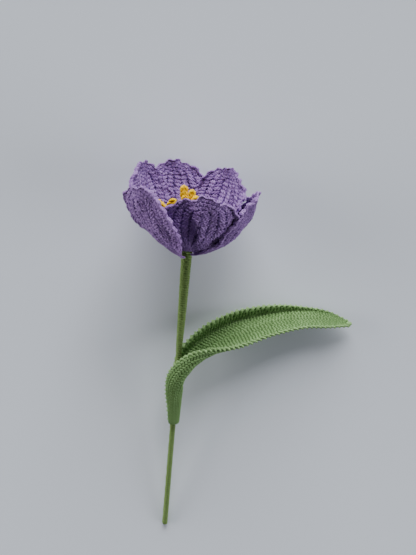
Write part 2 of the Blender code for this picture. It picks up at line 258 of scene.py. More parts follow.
def sweepYarn(tree, lines, inputs):
    # lines become round yarn of twisted plies; the profile has a crest and a groove for each ply
    curve = addNode(tree, "GeometryNodeMeshToCurve", {"Mesh": lines})
    parameter = addNode(tree, "GeometryNodeSplineParameter")
    turn = mathNode(tree, "MULTIPLY", parameter.outputs["Length"], inputs["Twist Per Metre"])
    tilt = addNode(tree, "GeometryNodeSetCurveTilt", {"Curve": curve.outputs[0], "Tilt": turn})
    corners = mathNode(tree, "MULTIPLY", inputs["Plies"], 2.0)
    circle = addNode(tree, "GeometryNodeCurvePrimitiveCircle", {"Resolution": corners, "Radius": 1.0})
    around = mathNode(tree, "MULTIPLY", parameter.outputs["Factor"], 2 * math.pi)
    crest = mathNode(tree, "COSINE", mathNode(tree, "MULTIPLY", around, inputs["Plies"]))
    keep = addNode(tree, "GeometryNodeStoreNamedAttribute", {
        "Name": "plyCrest", "Geometry": circle.outputs["Curve"], "Value": crest,
    }, data_type="FLOAT", domain="POINT")
    swell = mathNode(tree, "MULTIPLY_ADD", namedValue(tree, "plyCrest"), inputs["Ply Depth"], 1.0)
    position = addNode(tree, "GeometryNodeInputPosition").outputs[0]
    shape = addNode(tree, "GeometryNodeSetPosition", {
        "Geometry": keep.outputs[0], "Position": vectorMath(tree, "SCALE", position, Scale=swell)})
    radius = mathNode(tree, "MULTIPLY", namedValue(tree, "yarnRadius"), namedValue(tree, "thickShare"))
    sweep = addNode(tree, "GeometryNodeCurveToMesh", {
        "Curve": tilt.outputs[0], "Profile Curve": shape.outputs[0], "Scale": radius,
        "Fill Caps": True})
    realize = addNode(tree, "GeometryNodeRealizeInstances", {0: sweep.outputs[0]})
    finish = addNode(tree, "GeometryNodeSetMaterial", {
        "Geometry": realize.outputs[0], "Material": inputs["Yarn"]})
    addNode(tree, "NodeGroupOutput", {0: finish.outputs[0]})


yarnInputs = [
    ("Twist Per Metre", "NodeSocketFloat", 900.0),
    ("Plies", "NodeSocketInt", 3),
    ("Ply Depth", "NodeSocketFloat", 0.09),
    ("Yarn", "NodeSocketMaterial", None),
]


def makeSweepTree():
    tree, inputs = newTree("sweptYarn", yarnInputs)
    sweepYarn(tree, inputs["Geometry"], inputs)
    return tree


def makeStitchTree():
    # one stitch from the collection on each seat, bent onto the cloth by the cloth's own map
    tree, inputs = newTree("laidStitches", yarnInputs + [
        ("Cloth", "NodeSocketObject", None),
        ("Stitch Kinds", "NodeSocketCollection", None),
        ("Unevenness", "NodeSocketVector", (0.05, 0.04, 0.12)),
        ("Seed", "NodeSocketInt", 7),
    ])
    kinds = addNode(tree, "GeometryNodeCollectionInfo", {
        "Collection": inputs["Stitch Kinds"], "Separate Children": True, "Reset Children": True})
    place = addNode(tree, "GeometryNodeInstanceOnPoints", {
        "Points": inputs["Geometry"], "Instance": kinds.outputs[0], "Pick Instance": True,
        "Instance Index": namedValue(tree, "kind", "INT")})
    realize = addNode(tree, "GeometryNodeRealizeInstances", {0: place.outputs[0]})
    least = vectorMath(tree, "MULTIPLY", inputs["Unevenness"], (-1.0, -1.0, -1.0))
    uneven = addNode(tree, "FunctionNodeRandomValue", {
        0: least, 1: inputs["Unevenness"],
        "ID": namedValue(tree, "seat", "INT"), "Seed": inputs["Seed"],
    }, data_type="FLOAT_VECTOR")
    position = addNode(tree, "GeometryNodeInputPosition").outputs[0]
    local = vectorMath(tree, "ADD", position, uneven.outputs[0])
    spread = vectorMath(tree, "MULTIPLY", local, namedValue(tree, "seatSpan", "FLOAT_VECTOR"))
    mapped = vectorMath(tree, "ADD", spread, namedValue(tree, "seatAt", "FLOAT_VECTOR"))
    held = vectorMath(tree, "MINIMUM", mapped, (0.999, 0.999, 1.0))
    held = vectorMath(tree, "MAXIMUM", held, (0.001, 0.001, -1.0))
    cloth = addNode(tree, "GeometryNodeObjectInfo", {"Object": inputs["Cloth"]})

    def onCloth(value):
        sample = addNode(tree, "GeometryNodeSampleUVSurface", {
            "Mesh": cloth.outputs["Geometry"], "Value": value, "Sample UV": held,
            "UV Map": namedValue(tree, "clothMap", "FLOAT_VECTOR"),
        }, data_type="FLOAT_VECTOR")
        return sample.outputs["Value"]

    depth = addNode(tree, "ShaderNodeSeparateXYZ", {0: held})
    outward = onCloth(namedValue(tree, "clothNormal", "FLOAT_VECTOR"))
    lift = vectorMath(tree, "SCALE", outward, Scale=depth.outputs["Z"])
    surface = onCloth(position)
    bend = addNode(tree, "GeometryNodeSetPosition", {
        "Geometry": realize.outputs[0], "Position": vectorMath(tree, "ADD", surface, lift)})
    sweepYarn(tree, bend.outputs[0], inputs)
    return tree


sweptYarn = makeSweepTree()
laidStitches = makeStitchTree()
print("node trees made")


def runTree(obj, tree, values):
    # the tree's result as a plain mesh in place of the object's own
    modifier = obj.modifiers.new(tree.name, "NODES")
    modifier.node_group = tree
    for item in tree.interface.items_tree:
        if item.in_out == "INPUT" and item.name in values:
            modifier[item.identifier] = values[item.name]
    graph = bpy.context.evaluated_depsgraph_get()
    made = bpy.data.meshes.new_from_object(obj.evaluated_get(graph), depsgraph=graph)
    obj.modifiers.remove(modifier)
    old = obj.data
    obj.data = made
    bpy.data.meshes.remove(old)
    return obj


def yarnValues(material, yarn):
    # what both trees are told about the yarn
    return {"Yarn": material, "Twist Per Metre": yarn["twist"], "Plies": yarn["plies"],
            "Ply Depth": yarn["plyDepth"]}


# One stitch of each kind, as yarn lines in a unit cell: x along the row, y across it from its
# foot to its top, z out of the cloth in shares of the cloth's half thickness, how thick the yarn
# is there and its painted shade, darkest where it goes into the hole that it was worked into

def postLines(lean, turns, phase, narrow=0.10, wide=0.38, count=15):
    # a tall stitch: two strands wind flatly round a core, drawn in at its foot and top
    slant = 0.42 * lean
    paintedShadeHeight = 0.21
    lines = []
    for start in (phase, phase + math.pi):
        t = np.linspace(0, 1, count)
        angle = start + lean * 2 * math.pi * turns * t
        belly = np.sin(math.pi * t) ** 0.5
        reach = narrow + (wide - narrow) * belly
        depth = np.sign(np.sin(angle)) * np.abs(np.sin(angle)) ** 0.6
        x = 0.5 + reach * np.cos(angle) + slant * (t - 0.5)
        # the fifth column is painted shade at the stitch's foot, where the yarn goes into its hole
        lines.append(columns(x, -0.06 + 1.10 * t, (0.20 + 0.16 * belly) * depth,
                             0.74 + 0.26 * belly, np.exp(-((t / paintedShadeHeight) ** 4))))
    t = np.linspace(0, 1, 5)
    core = 0.60 + 0.55 * np.sin(math.pi * t)
    lines.append(columns(0.5 + slant * (t - 0.5), 0.06 + 0.88 * t, 0 * t, core, 0 * t))
    return lines


def linkLines(bulge, height, tall, thick, count):
    # the two legs of a chain link that lies along the row's top, one on each face
    lines = []
    for face in (1, -1):
        keys = [(-0.10, height, 0.15), (0.15, height + tall / 2, bulge * 0.8),
                (0.55, height + tall, bulge), (0.90, height + tall / 2, bulge * 0.7),
                (1.18, height, 0.10)]
        lines.append(through([(x, y, z * face, thick, 0) for x, y, z in keys], count))
    return lines


def leafLines(lean, count):
    # a short stitch: two legs that spread from its foot above, two slanted dashes below
    # the fifth number of each key is painted shade, darkest at the ends that go into holes
    lines = []
    for side in (1, -1):
        keys = [(0.5 + 0.17 * side, -0.14, 0.0, 0.6, 0.6), (0.5 + 0.20 * side, 0.18, 0.62, 1.05, 0),
                (0.5 + 0.29 * side, 0.68, 0.66, 1.05, 0), (0.5 + 0.34 * side, 1.02, 0.0, 0.6, 0.6)]
        lines.append(through(keys, count))
    for start in (0.0, 0.5):
        keys = [(start - 0.06, 0.5 - 0.42 * lean, -0.10, 0.6, 1.0),
                (start + 0.10, 0.5 - 0.22 * lean, -0.62, 1.05, 0.15),
                (start + 0.40, 0.5 + 0.22 * lean, -0.70, 1.05, 0.10),
                (start + 0.56, 0.5 + 0.42 * lean, -0.10, 0.6, 1.0)]
        lines.append(through(keys, count))
    return lines


def slantLines(count):
    # an edge loop: slanted over the front, round the edge and back behind
    keys = [(-0.15, -0.75, 0.25, 0.8), (0.05, -0.25, 0.75, 1), (0.35, 0.35, 0.95, 1.05),
            (0.72, 0.85, 0.65, 1), (0.90, 1.0, -0.1, 1), (1.00, 0.70, -0.75, 1), (1.00, 0.20, -0.80, 1),
            (0.95, -0.40, -0.4, 0.8)]
    return [through([(*key, 0) for key in keys], count)]


def toothLines(count):
    # an edge loop that stands up like a tooth, straight over the edge
    keys = [(0.30, -0.90, 0.25, 0.8), (0.36, -0.30, 0.70, 0.95), (0.46, 0.36, 0.85, 1.1),
            (0.54, 0.80, 0.45, 1.15), (0.58, 0.82, -0.45, 1.15), (0.64, 0.40, -0.85, 1),
            (0.70, -0.30, -0.6, 0.8)]
    return [through([(*key, 0) for key in keys], count)]


def loopLines(count):
    # a link of a cord crocheted in chain: one loop that the next link comes up through
    keys = [(-0.35, 0.50, -0.75), (-0.10, 0.34, -0.1), (0.35, 0.20, 0.45), (0.85, 0.20, 0.60),
            (1.20, 0.40, 0.30), (1.25, 0.50, 0.0), (1.20, 0.60, 0.30), (0.85, 0.80, 0.60),
            (0.35, 0.80, 0.45), (-0.10, 0.66, -0.1), (-0.35, 0.50, -0.75)]
    return [through([(*key, 1, 0) for key in keys], count)]


def lineMesh(name, lines):
    mesh = bpy.data.meshes.new(name)
    edges = []
    first = 0
    for line in lines:
        edges += [(first + i, first + i + 1) for i in range(len(line) - 1)]
        first += len(line)
    mesh.from_pydata(np.vstack(lines)[:, :3].tolist(), edges, [])
    return mesh


def makeStitchKinds(name, kinds):
    collection = bpy.data.collections.new(name)
    for index, lines in enumerate(kinds):
        mesh = lineMesh(f"{name}{index}", lines)
        addAttribute(mesh, "thickShare", "FLOAT", np.vstack(lines)[:, 3])
        # each line's fifth column is its painted shade
        addAttribute(mesh, "paintedShade", "FLOAT", np.clip(np.vstack(lines)[:, 4], 0, 1))
        collection.objects.link(bpy.data.objects.new(f"{name}{index}", mesh))
    return collection


# Cloth: a grid with its map, and the seats of the stitches on it

def makeCloth(name, places, normals):
    rows, stations = places.shape[:2]
    mesh = bpy.data.meshes.new(name)
    corners = (i * stations + j for i in range(rows - 1) for j in range(stations - 1))
    faces = [(k, k + 1, k + stations + 1, k + stations) for k in corners]
    mesh.from_pydata(places.reshape(-1, 3).tolist(), [], faces)
    u = np.tile(np.linspace(0, 1, stations), rows)
    v = np.repeat(np.linspace(0, 1, rows), stations)
    addAttribute(mesh, "clothMap", "FLOAT_VECTOR", columns(u, v, 0 * u))
    addAttribute(mesh, "clothNormal", "FLOAT_VECTOR", normals.reshape(-1, 3))
    return addObject(name, mesh)


def rowSeats(places, row, seats, random):
    # stitches side by side along one row of the cloth, as wide as its pitch
    count = places.shape[0] - 1
    middle = (row["low"] + row["high"]) / 2 * count
    below = min(int(middle), count - 1)
    share = middle - below
    line = (1 - share) * places[below] + share * places[below + 1]
    length = runningLength(line)
    u = np.linspace(0, 1, len(line))
    first, last = row.get("reach", (0.0, 1.0))
    start, end = np.interp([first, last], u, length)
    number = max(1, round((end - start) / row["pitch"]))
    shift = row.get("shift", 0.0) * (end - start) / number
    bounds = np.interp(np.linspace(start, end, number + 1) + shift, length, u)
    low, high = (round(row[key] * count) for key in ("low", "high"))
    tall = np.linalg.norm(places[high] - places[low], axis=-1)
    for i in range(number):
        at = (bounds[i] + bounds[i + 1]) / 2
        height = np.interp(at, u, tall)
        slim = min(max(height / row["fullHeight"], row["slimmest"]), 1.0)
        seats.append((bounds[i], row["low"], bounds[i + 1] - bounds[i], row["high"] - row["low"],
                      row["thickness"] * (0.4 + 0.6 * slim), row["radius"] * slim,
                      random.choice(row["kinds"][i % len(row["kinds"])]), row.get("edgeShadeAndLight", 0.0)))


def makeSeats(name, seats, seed):
    table = np.array(seats)
    mesh = bpy.data.meshes.new(name)
    mesh.from_pydata([(0, 0, 0)] * len(table), [], [])
    flat = np.zeros(len(table))
    random = np.random.default_rng(seed)
    addAttribute(mesh, "seatAt", "FLOAT_VECTOR", columns(table[:, 0], table[:, 1], flat))
    addAttribute(mesh, "seatSpan", "FLOAT_VECTOR", table[:, 2:5])
    addAttribute(mesh, "yarnRadius", "FLOAT", table[:, 5] * random.uniform(0.94, 1.06, len(table)))
    addAttribute(mesh, "kind", "INT", table[:, 6].astype(np.int32))
    # painted rim shade on petals, painted highlight on the leaf's edge loops
    addAttribute(mesh, "edgeShadeAndLight", "FLOAT", table[:, 7])
    addAttribute(mesh, "tint", "FLOAT", random.random(len(table)))
    addAttribute(mesh, "seat", "INT", np.arange(len(table), dtype=np.int32))
    return addObject(name, mesh)


def innerCloth(name, places, normals, thickness, shadeOfRow, material):
    # a thin closed sheet in the middle of the stitches, coloured with painted shade that is darkest
    # where the holes between rows are
    rows, stations = places.shape[:2]
    sheet = bmesh.new()
    shades = sheet.verts.layers.float.new("paintedShade")
    layers = []
    for side in (0.5, -0.5):
        grid = places + side * thickness * normals
        layers.append([[sheet.verts.new(grid[i, j]) for j in range(stations)] for i in range(rows)])
        for verts, shade in zip(layers[-1], shadeOfRow):
            for vert in verts:
                vert[shades] = shade
    for layer in layers:
        for i in range(rows - 1):
            for j in range(stations - 1):
                sheet.faces.new((layer[i][j], layer[i][j + 1], layer[i + 1][j + 1], layer[i + 1][j]))
    top, bottom = layers
    ring = [(0, j) for j in range(stations)] + [(i, stations - 1) for i in range(1, rows)]
    ring += [(rows - 1, j) for j in range(stations - 2, -1, -1)]
    ring += [(i, 0) for i in range(rows - 2, 0, -1)]
    for (i, j), (k, m) in zip(ring, ring[1:] + ring[:1]):
        sheet.faces.new((top[i][j], top[k][m], bottom[k][m], bottom[i][j]))
    bmesh.ops.remove_doubles(sheet, verts=sheet.verts, dist=0.00002)
    bmesh.ops.dissolve_degenerate(sheet, dist=0.00001, edges=sheet.edges)
    bmesh.ops.recalc_face_normals(sheet, faces=sheet.faces)
    mesh = bpy.data.meshes.new(name)
    sheet.to_mesh(mesh)
    sheet.free()
    markPlain(mesh)
    mesh.materials.append(material)
    return addObject(name, mesh)


def markPlain(mesh):
    # what lies under the stitches has no plies and a middling tint
    for name, value in (("plyCrest", 0.0), ("tint", 0.3), ("edgeShadeAndLight", 0.0)):
        addAttribute(mesh, name, "FLOAT", np.full(len(mesh.vertices), value))


def joined(name, parts):
    # one object of all the parts, upright places turned to where they lie
    target = parts[0]
    with bpy.context.temp_override(active_object=target, object=target, selected_objects=parts,
                                   selected_editable_objects=parts):
        bpy.ops.object.join()
    target.name = name
    mesh = target.data
    mesh.name = name
    places = np.zeros(len(mesh.vertices) * 3)
    mesh.vertices.foreach_get("co", places)
    mesh.vertices.foreach_set("co", asDown(places.reshape(-1, 3)).ravel())
    mesh.shade_smooth()
    mesh.update()
    triangles = sum(len(polygon.vertices) - 2 for polygon in mesh.polygons)
    print(name, len(mesh.polygons), "faces,", triangles, "triangles")
    return target


def linesObject(name, lines, radii, tint=0.5, edgeShadeAndLight=0.0):
    # lines of yarn with a radius at each point
    mesh = lineMesh(name, lines)
    addAttribute(mesh, "yarnRadius", "FLOAT", np.concatenate(radii))
    for label, value in (("thickShare", 1.0), ("tint", tint), ("edgeShadeAndLight", edgeShadeAndLight)):
        addAttribute(mesh, label, "FLOAT", np.full(len(mesh.vertices), value))
    return addObject(name, mesh)


def stitchesOn(name, places, normals, layers, yarn, material, kinds, seed):
    # rows of stitches laid on a cloth that is then taken away
    ground = makeCloth(name + "Ground", places, normals)
    seats = []
    random = np.random.default_rng(seed)
    for row in layers:
        rowSeats(places, row, seats, random)
    stitches = makeSeats(name + "Stitches", seats, seed)
    runTree(stitches, laidStitches, {
        **yarnValues(material, yarn), "Cloth": ground, "Stitch Kinds": kinds, "Seed": seed,
        "Unevenness": yarn["unevenness"],
    })
    bpy.data.objects.remove(ground)
    return stitches


def crochet(name, node, cloth, layers, yarn, material, kinds, seed, extras=()):
    # a piece of stitches over a thin inner sheet, in place of its solid
    places, normals, sheetRows, sheetThickness, shadeOfRow = cloth
    stitches = stitchesOn(name, places, normals, layers, yarn, material, kinds, seed)
    body = innerCloth(name + "Inner", places[sheetRows, ::2], normals[sheetRows, ::2], sheetThickness,
                      shadeOfRow, material)
    piece = joined(name, [stitches, body, *extras])
    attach(piece, "root")
    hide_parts(node)
    return piece


# Petals: rows of tall stitches that run up one side, round the tip and down the other

petalShape = dict(
    shoulder=0.64,          # where up the petal it is widest
    footHalfWidth=0.0054,
    widening=1.55,
    stations=121,
    rows=51,
    innerThickness=0.0004,
    scallops=25,
    scallopHeight=0.0009,
)
petalRows = dict(
    edges=(0.0, 0.22, 0.44, 0.66, 0.88, 1.0),    # shares from the middle to the edge
    pitch=0.0029,
    thickness=0.00125,
    radius=0.00070,
    fullHeight=0.0048,
    slimmest=0.45,
)
petalShade = dict(between=0.35, atHoles=0.9)    # painted shade on the inner cloth, between the holes and at them
petalYarnWork = dict(twist=1300.0, plies=3, plyDepth=0.10, unevenness=(0.10, 0.030, 0.22))
petalKinds = makeStitchKinds(
    "petalStitch",
    [linkLines(0.10, -0.06, 0.12, 0.6, 5)]
    + [postLines(lean, turns, phase) for lean in (1, -1) for phase in (0.0, math.pi / 2)
       for turns in (1.25, 1.4, 1.55)]
    + [postLines(1, 0.5, 0.0, 0.12, 0.26, 6) + linkLines(0.75, 0.72, 0.24, 1.2, 8),
       postLines(1, 0.6, 0.8, 0.12, 0.26, 6) + linkLines(0.65, 0.66, 0.34, 1.3, 8)],
)
# Places in a petal's foot, belly, shoulder and tip are its radius and height. Its rim and rolls are
# pairs of a share along the rim, from its left foot round the tip to its right foot as seen from
# outside, and millimetres: out past the plain outline, and out of the cup.
plainPetal = dict(
    chainReach=0.85,    # how far up the middle chain goes
    leftShare=1.0,      # how wide the left half is, as a share of the right
    twist=0, flare=(0.0, 0.0), rim=[(0.0, 0.0), (1.0, 0.0)], rolls=[(0.0, 0.0), (1.0, 0.0)], creases=[],
    # painted shade on the rim row's yarn, against the light that its top catches
    paintedRimShade=0.25,
)
innerRing = dict(
    plainPetal, foot=(0.0052, 0.0026), belly=(0.018, 0.0095), shoulder=(0.0400, 0.0290),
    tip=(0.0430, 0.0575), wave=0.0010, ruffle=(0.0007, 9.0),
)
outerRing = dict(plainPetal, foot=(0.0052, -0.0024), belly=(0.017, 0.002), wave=0.0008)
valley = dict(kind="valley", slope=0.0, start=0.6, rise=1.3, width=0.0020)
petals = {
    "petal_front": dict(
        innerRing, azimuth=11, halfWidth=0.0300, flare=(0.000, 0.001), waves=1.6, phase=0.5,
        paintedRimShade=0.3, chainReach=0.80,
        rim=[(0.0, 1.6), (0.08, 2.0), (0.14, 0.0), (0.32, 0.0), (0.35, -4.0), (0.375, -5.0),
             (0.40, -3.8), (0.425, -5.2), (0.45, -5.6), (0.475, -1.6), (0.50, -0.3), (0.525, -1.4),
             (0.55, -1.5), (0.58, -4.8), (0.60, -5.0), (0.625, -2.0), (0.65, -1.6), (0.70, -0.8),
             (0.76, 0.5), (0.82, 2.5), (0.88, 3.2), (0.95, 2.6), (1.0, 1.8)],
        rolls=[(0.58, 0.0), (0.64, 1.5), (0.70, 3.0), (0.80, 5.2), (0.90, 4.6), (0.97, 2.0),
               (1.0, 0.5)],
        creases=[dict(kind="step", at=-0.0086, slope=-0.198, depth=-0.0055, width=0.0030, start=0.02,
                      rise=0.6)],
    ),
    "petal_right": dict(
        outerRing, azimuth=86, halfWidth=0.0285, foot=(0.0051, -0.0010), belly=(0.020, 0.0015),
        shoulder=(0.0455, 0.0180), tip=(0.0485, 0.0530), waves=1.4, phase=1.9, twist=-12,
        ruffle=(0.0006, 8.0), paintedRimShade=0.0,
        leftShare=0.78,    # its side next to the front petal is narrower
        rolls=[(0.0, -0.5), (0.08, -2.5), (0.30, -3.5), (0.38, -1.5), (0.42, 0.0)],
    ),
    "petal_back_right": dict(
        innerRing, azimuth=134, halfWidth=0.0255, waves=1.5, phase=0.2, twist=6,
        rim=[(0.28, 0.0), (0.32, -1.2), (0.37, -2.4), (0.40, -0.6), (0.435, -2.4), (0.475, 0.2),
             (0.50, 0.2), (0.53, -1.5), (0.56, -1.2), (0.60, 0.0)],
        creases=[dict(valley, at=-0.0165, depth=-0.0022)],
    ),
    "petal_back": dict(
        outerRing, azimuth=198, halfWidth=0.0270, shoulder=(0.0445, 0.0265), tip=(0.0485, 0.0570),
        waves=1.4, phase=1.2, ruffle=(0.0007, 10.0),
        rim=[(0.385, 0.0), (0.41, 0.8), (0.44, -2.2), (0.455, -2.4), (0.48, 0.3), (0.52, -0.4),
             (0.56, -2.4), (0.60, 0.0)],
        creases=[dict(valley, at=-0.005, slope=0.25, depth=0.0028, width=0.0018),
                 dict(valley, at=-0.0105, slope=0.35, depth=0.0030, width=0.0018)],
    ),
    "petal_back_left": dict(
        innerRing, azimuth=246, halfWidth=0.0260, tip=(0.0430, 0.0590), flare=(0.000, 0.001),
        waves=1.7, phase=2.4, twist=-6,
        rim=[(0.26, 0.0), (0.30, -3.5), (0.37, -4.4), (0.40, -2.6), (0.425, -1.2), (0.46, 0.2),
             (0.49, 1.0), (0.53, 2.2), (0.57, 2.4), (0.61, 3.2), (0.65, 2.0), (0.70, 0.0)],
        rolls=[(0.54, 0.0), (0.59, 0.8), (0.62, 2.8), (0.65, 2.4), (0.68, 0.5), (0.72, 0.0)],
        creases=[dict(valley, at=-0.008, slope=-0.25, depth=0.0034, start=0.5)],
    ),
    "petal_left": dict(
        outerRing, azimuth=310, halfWidth=0.0250, shoulder=(0.0450, 0.0280), tip=(0.0500, 0.0590),
        flare=(0.005, 0.000), waves=1.5, phase=0.9, ruffle=(0.0005, 8.0), paintedRimShade=0.2,
        rim=[(0.35, 0.0), (0.38, -1.6), (0.41, -2.6), (0.45, -2.8), (0.49, -3.4), (0.52, -0.5),
             (0.545, 1.8), (0.57, 1.4), (0.60, 0.0), (0.90, 0.0), (0.95, -1.8), (1.0, -3.0)],
        rolls=[(0.10, 0.0), (0.20, 2.2), (0.30, 2.4), (0.34, 0.5), (0.37, 0.0), (0.60, 0.0),
               (0.68, 2.0), (0.86, 2.0), (0.96, 0.0)],
    ),
}


def middleLine(petal):
    # running length, radius and height up a petal's middle
    ends = [np.array(petal[key]) for key in ("foot", "belly", "shoulder", "tip")]
    t = np.linspace(0, 1, 200)[:, None]
    weights = ((1 - t) ** 3, 3 * (1 - t) ** 2 * t, 3 * (1 - t) * t**2, t**3)
    line = sum(weight * end for weight, end in zip(weights, ends))
    return runningLength(line), line[:, 0], line[:, 1]


def petalPlace(petal, line, across, along):
    # a point of the flat petal on the cup: round the stem's axis, out and up
    length, radius, height = line
    reach = along / length[-1]
    side = across / petal["halfWidth"]
    r = np.interp(along, length, radius)
    turn = np.radians(petal["azimuth"] + petal["twist"] * reach**2) + across / r
    wave = np.sin(petal["waves"] * math.pi * side + petal["phase"]) * reach**3
    flare = np.where(side < 0, petal["flare"][0], petal["flare"][1])
    r = r + flare * side**2 * reach + petal["wave"] * wave
    return columns(r * np.sin(turn), -r * np.cos(turn), np.interp(along, length, height))


def petalNormal(petal, line, across, along):
    step = 0.0002
    left, right = (petalPlace(petal, line, across + side, along) for side in (-step, step))
    below, above = (petalPlace(petal, line, across, along + side) for side in (-step, step))
    return unit(np.cross(right - left, above - below))


def petalOutline(petal, total, stations):
    v = np.linspace(0, 1, 400)
    rise = np.sin(math.pi / 2 * np.minimum(v / petalShape["shoulder"], 1)) ** petalShape["widening"]
    fall = np.maximum((v - petalShape["shoulder"]) / (1 - petalShape["shoulder"]), 0) ** 2
    spread = petal["halfWidth"] - petalShape["footHalfWidth"]
    half = (petalShape["footHalfWidth"] + spread * rise) * np.sqrt(np.maximum(1 - fall, 0))
    left = columns(-half * petal["leftShare"], v * total)
    right = columns(half, v * total)[::-1]
    return evenly(np.vstack([left, right[1:]]), stations)


def petalCloth(petal, rows, stations):
    line = middleLine(petal)
    total = line[0][-1]
    edge = petalOutline(petal, total, stations)
    reach = petal["chainReach"]
    chain = np.minimum(edge[:, 1], total * reach)
    share = np.linspace(0, 1, rows)[:, None]
    u = np.linspace(0, 1, stations)
    outward = unit(columns(edge[:, 0], edge[:, 1] - chain))
    bulge = share**5 * rimProfile(petal, u)
    across = share * edge[:, 0] + bulge * outward[:, 0]
    along = (1 - share) * chain + share * edge[:, 1] + bulge * outward[:, 1]
    places = petalPlace(petal, line, across, along)
    normals = petalNormal(petal, line, across, along)
    lift = share**4 * rimWaves(petal, u) + share**3 * alongRim(petal["rolls"], u)
    lift = lift + handling(petal, across, along) * along / total
    for crease in petal["creases"]:
        aside = (across - crease["at"] - crease["slope"] * (along - total)) / crease["width"]
        form = np.exp(-(aside**2)) if crease["kind"] == "valley" else 1 / (1 + np.exp(3 * aside))
        fade = np.clip((along / total - crease["start"]) / (1 - crease["start"]), 0, 1)
        lift = lift + crease["depth"] * fade ** crease["rise"] * form
    return places + lift[..., None] * normals, normals


def handling(petal, across, along):
    # gentle dents and swells of cloth that has been handled
    first, second = petal["phase"] * 7, petal["phase"] * 13 + petal["azimuth"]
    return (0.0008 * np.sin(across / 0.0031 + along / 0.0083 + first)
            + 0.0007 * np.sin(across / 0.0047 - along / 0.0056 + second))


def rimProfile(petal, u):
    # how far the rim's loops reach out past the plain outline
    waves = petalShape["scallops"]
    phase = petal["phase"]
    small = petalShape["scallopHeight"] * np.sin(2 * math.pi * waves * u + phase)
    return small + alongRim(petal["rim"], u)


def alongRim(pairs, u):
    # pairs of a share along the rim and millimetres, as a soft line
    at, reach = np.array(pairs).T
    shape = np.interp(u, at, reach / 1000)
    return np.convolve(np.pad(shape, 1, mode="edge"), np.ones(3) / 3, mode="valid")


def rimWaves(petal, u):
    # how the rim ruffles in and out
    height, waves = petal["ruffle"]
    phase = petal["phase"] * 3
    return height * (np.sin(2 * math.pi * waves * u + phase)
                     + 0.5 * np.sin(2 * math.pi * waves * 2.7 * u + 2 * phase + 1))


def petalLayers(paintedRimShade):
    edges = petalRows["edges"]
    layers = [dict(petalRows, low=0.0, high=edges[1], kinds=[[0]], reach=(0.0, 0.45))]
    for index in range(len(edges) - 2):
        kinds = [[1, 2, 3], [4, 5, 6]] if index % 2 else [[7, 8, 9], [10, 11, 12]]
        layers.append(dict(petalRows, low=edges[index], high=edges[index + 1], kinds=kinds))
    # the rim row carries the petal's painted rim shade
    layers.append(dict(petalRows, low=edges[-2], high=edges[-1], kinds=[[13, 14]],
                       fullHeight=0.0024, edgeShadeAndLight=paintedRimShade))
    return layers


# the rows of the cloth that the inner sheet keeps: the holes, and what shapes it between them
petalGap = round(petalRows["edges"][1] * (petalShape["rows"] - 1))
petalSheetRows = [low + k for low in range(0, 4 * petalGap, petalGap) for k in (0, 1, 5, 10)]
petalSheetRows += [44, 45, 49]
petalSheetShade = [petalShade["between" if row % petalGap else "atHoles"] for row in petalSheetRows]


for index, (node, petal) in enumerate(petals.items()):
    places, normals = petalCloth(petal, petalShape["rows"], petalShape["stations"])
    cloth = (places, normals, petalSheetRows, petalShape["innerThickness"], petalSheetShade)
    crochet(node + "_crochet", node, cloth, petalLayers(petal["paintedRimShade"]),
            petalYarnWork, petalYarn, petalKinds, 11 + index)
print("petals crocheted")


# Leaf: short stitches in rows along its length, with slanted loops on both edges

# middle, direction from near edge to far edge, half width, cup angle and far wall's height
leafStations = [
    ((0.0026, -0.0034, -0.142), (0.77, 0.64, 0.00), 0.0068, 190, 0.0),
    ((0.0025, -0.0041, -0.128), (0.77, 0.64, 0.00), 0.0092, 212, 0.0),
    ((0.0026, -0.0054, -0.114), (0.72, 0.69, 0.00), 0.0124, 228, 0.0),
    ((0.0052, -0.0056, -0.103), (0.50, 0.86, 0.03), 0.0158, 230, 0.0030),
    ((0.0104, -0.0022, -0.094), (0.20, 0.97, 0.12), 0.0178, 212, 0.0070),
    ((0.0185, 0.0055, -0.086), (0.02, 0.94, 0.30), 0.0184, 175, 0.0090),
    ((0.0300, 0.0128, -0.078), (0.00, 0.87, 0.49), 0.0182, 118, 0.0095),
    ((0.0470, 0.0182, -0.0690), (0.04, 0.80, 0.59), 0.0174, 70, 0.0085),
    ((0.0640, 0.0198, -0.0620), (0.04, 0.81, 0.59), 0.0152, 54, 0.0075),
    ((0.0800, 0.0205, -0.0575), (0.04, 0.82, 0.57), 0.0128, 48, 0.0055),
    ((0.0970, 0.0208, -0.0550), (0.03, 0.85, 0.52), 0.0100, 42, 0.0030),
    ((0.1130, 0.0200, -0.0545), (0.02, 0.80, 0.60), 0.0076, 36, 0.0015),
    ((0.1300, 0.0200, -0.0564), (0.02, 0.78, 0.62), 0.0022, 30, 0.0),
]
leafWork = dict(
    stations=150, rows=71, innerThickness=0.0011, rowsEachSide=8, fold=0.55, wallLean=(0, -0.46, 0.19),
    thickness=0.00110, radius=0.00086, fullHeight=0.0020, slimmest=0.42, pitch=0.0050,
    edge=3,    # how many of the cloth's rows the loops on each edge take
    edgeRadius=0.00105, toothPitch=0.0042, slantPitch=0.0037,
    tipRadius=0.0019, tipHalfLength=0.0016, tipTurns=2.5, tipYarn=0.00095,
    # painted shade on the inner cloth, between the holes and at them
    shadeBetween=0.3, shadeAtHoles=1.0,
)
leafYarnWork = dict(twist=1200.0, plies=3, plyDepth=0.10, unevenness=(0.05, 0.04, 0.12))
leafKinds = makeStitchKinds(
    "leafStitch", [leafLines(1, 5), leafLines(-1, 5), slantLines(13), toothLines(12)])


